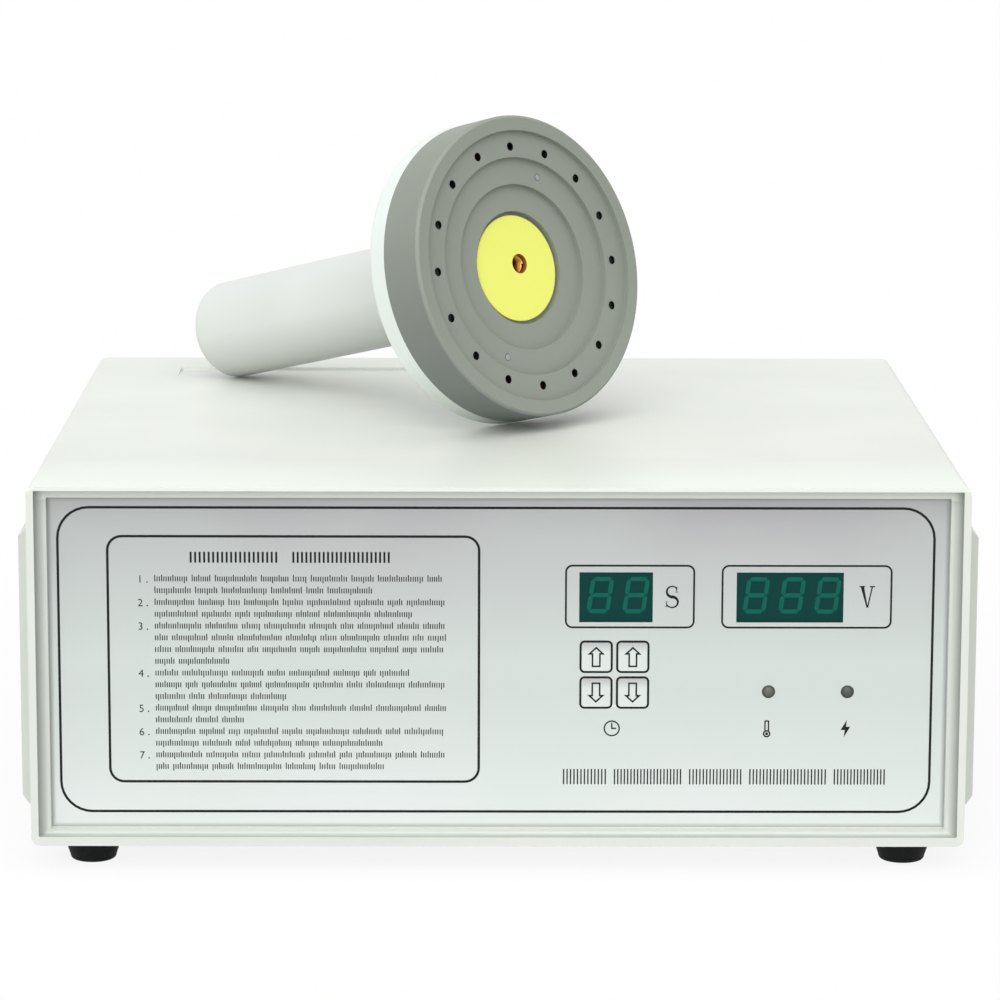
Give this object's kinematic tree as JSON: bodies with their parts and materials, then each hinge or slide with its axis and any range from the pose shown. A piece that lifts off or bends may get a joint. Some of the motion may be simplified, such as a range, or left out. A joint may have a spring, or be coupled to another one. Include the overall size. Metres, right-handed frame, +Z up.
{
  "type": "induction cap sealer",
  "caption": "Bench induction sealer: a low instrument case with a recessed control panel, and a hand-held round sealing head with a stepped face that rests on its top.",
  "frame": {"origin": "on the floor under the middle of the case, at the underside of the feet", "axes": "+X to the right as seen from the front, +Y to the rear, +Z up; the control panel faces -Y"},
  "size_m": [0.3388, 0.3, 0.2547],
  "materials": {
    "case_plastic": "moulded off-white plastic, fine satin",
    "panel_metal": "silver printed panel, satin",
    "rubber": "moulded black rubber",
    "steel": "plated steel",
    "window": "dark green tinted acrylic, gloss",
    "key": "light grey key cap, satin",
    "lamp": "smoked lens, unlit",
    "black_plastic": "moulded black plastic",
    "board": "green solder mask",
    "brass": "turned brass",
    "aluminium": "extruded aluminium, bare",
    "ferrite": "sintered ferrite, dull",
    "copper": "enamelled copper wire",
    "film": "moulded film capacitor box",
    "switch_red": "red moulded rocker",
    "head_grey": "turned grey plastic, satin",
    "handle_white": "white plastic, half gloss",
    "disc_yellow": "yellow plastic sheet"
  },
  "bodies": {
    "case": {"bottom_tray": "case_plastic", "top_cover": "case_plastic", "side_cover_left": "case_plastic", "side_cover_right": "case_plastic", "front_panel": "panel_metal", "rear_panel": "case_plastic", "foot_front_left": "rubber", "foot_front_right": "rubber", "foot_rear_left": "rubber", "foot_rear_right": "rubber", "case_screws": "steel", "cover_screws": "steel", "time_window": "window", "voltage_window": "window", "time_display": "black_plastic", "voltage_display": "black_plastic", "key_switches": "black_plastic", "heat_lamp": "lamp", "current_lamp": "lamp", "display_board": "board", "board_spacers": "brass", "spacer_screws": "steel", "buzzer": "black_plastic", "power_board": "board", "power_board_screws": "steel", "heat_sink": "aluminium", "power_transistors": "black_plastic", "bridge_rectifier": "black_plastic", "transformer_core": "ferrite", "transformer_winding": "copper", "resonant_capacitors": "film", "smoothing_capacitor": "black_plastic", "fan_frame": "black_plastic", "fan_screws": "steel", "mains_inlet": "black_plastic", "inlet_pins": "steel", "fuse_holder": "black_plastic", "switch_body": "black_plastic", "head_socket": "steel", "socket_contacts": "brass", "head_face": "head_grey", "head_shell": "handle_white", "induction_coil": "copper", "ferrite_bars": "ferrite", "centre_disc": "disc_yellow", "centre_insert": "brass", "face_screws": "steel", "handle_tube": "handle_white", "cable_gland": "black_plastic", "trigger_switch": "black_plastic"},
    "key_tens_up": {"key_tens_up": "key"},
    "key_units_up": {"key_units_up": "key"},
    "key_tens_down": {"key_tens_down": "key"},
    "key_units_down": {"key_units_down": "key"},
    "trigger_button": {"trigger_button": "black_plastic"},
    "switch_rocker": {"switch_rocker": "switch_red"},
    "fan_rotor": {"fan_rotor": "black_plastic"},
    "fuse_cap": {"fuse_cap": "black_plastic"}
  },
  "joints": [
    {"name": "key_tens_up_press", "type": "slide", "parent": "case", "child": "key_tens_up", "axis": [0, 1, 0], "range_m": [0, 0.0006], "stiffness_N_per_m": 600},
    {"name": "key_units_up_press", "type": "slide", "parent": "case", "child": "key_units_up", "axis": [0, 1, 0], "range_m": [0, 0.0006], "stiffness_N_per_m": 600},
    {"name": "key_tens_down_press", "type": "slide", "parent": "case", "child": "key_tens_down", "axis": [0, 1, 0], "range_m": [0, 0.0006], "stiffness_N_per_m": 600},
    {"name": "key_units_down_press", "type": "slide", "parent": "case", "child": "key_units_down", "axis": [0, 1, 0], "range_m": [0, 0.0006], "stiffness_N_per_m": 600},
    {"name": "trigger_press", "type": "slide", "parent": "case", "child": "trigger_button", "axis": [-0.723, -0.6909, 0], "range_m": [0, 0.002], "stiffness_N_per_m": 400},
    {"name": "power_rock", "type": "hinge", "parent": "case", "child": "switch_rocker", "pos_m": [0.128, 0.1415, 0.0515], "axis": [1, 0, 0], "range_deg": [0, 20]},
    {"name": "fan_spin", "type": "hinge", "parent": "case", "child": "fan_rotor", "pos_m": [-0.08, 0.127, 0.0735], "axis": [0, 1, 0], "continuous": true},
    {"name": "fuse_turn", "type": "hinge", "parent": "case", "child": "fuse_cap", "pos_m": [0.062, 0.1415, 0.0515], "axis": [0, 1, 0], "range_deg": [0, 90]}
  ]
}
